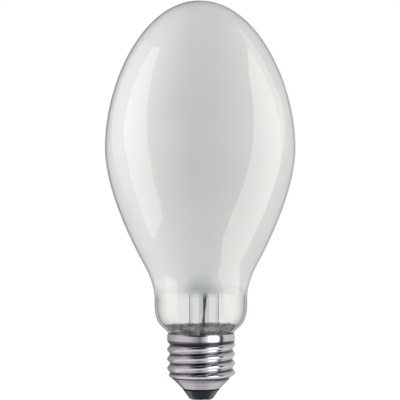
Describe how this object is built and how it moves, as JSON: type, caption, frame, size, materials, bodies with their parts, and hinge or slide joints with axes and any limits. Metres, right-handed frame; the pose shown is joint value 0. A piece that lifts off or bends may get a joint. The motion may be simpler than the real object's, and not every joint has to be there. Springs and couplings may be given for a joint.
{
  "type": "high pressure sodium lamp",
  "caption": "Elliptical discharge lamp: white coated glass bulb with a clear neck, wire-framed ceramic arc tube inside, and a threaded nickel-plated screw cap.",
  "frame": {"origin": "on the lamp axis at the crown of the centre contact's solder, where the lamp seats in its holder", "axes": "+Z along the lamp axis from the cap to the dome, -Y towards the front, with the side solder at the back on +Y"},
  "size_m": [0.0738, 0.0738, 0.156],
  "materials": {
    "bulb_glass": "clear polished glass",
    "white_coating": "matte white powder",
    "stem_glass": "clear glass",
    "exhaust_glass": "clear glass",
    "lead_wire": "dull oxidised wire",
    "nickel_wire": "satin nickel",
    "nickel_strap": "satin nickel",
    "getter_steel": "dull grey steel",
    "alumina": "translucent fired alumina",
    "alumina_plug": "fired alumina",
    "sealing_glass": "melted sealing glass",
    "niobium": "satin grey metal",
    "tungsten": "dark drawn metal",
    "amalgam_metal": "bright liquid metal",
    "nickel_shell": "bright nickel plate",
    "cement": "coarse fired cement",
    "black_glass": "glossy black glass",
    "contact_plate": "nickel plate",
    "solder": "smooth solder"
  },
  "bodies": {
    "root": {"outer_bulb": "bulb_glass", "diffusing_coating": "white_coating", "stem": "stem_glass", "exhaust_tube": "exhaust_glass", "contact_lead": "lead_wire", "shell_lead": "lead_wire", "side_rod": "nickel_wire", "lower_strap": "nickel_strap", "upper_strap": "nickel_strap", "flexible_lead": "nickel_wire", "getter_arm": "nickel_wire", "getter_ring": "getter_steel", "arc_tube": "alumina", "lower_plug": "alumina_plug", "upper_plug": "alumina_plug", "lower_seal": "sealing_glass", "upper_seal": "sealing_glass", "lower_niobium_tube": "niobium", "upper_niobium_tube": "niobium", "lower_electrode": "tungsten", "upper_electrode": "tungsten", "lower_coil": "tungsten", "upper_coil": "tungsten", "amalgam": "amalgam_metal", "cap_shell": "nickel_shell", "cap_cement": "cement", "cap_insulator": "black_glass", "centre_contact": "contact_plate", "contact_solder": "solder", "side_solder": "solder"}
  },
  "joints": []
}
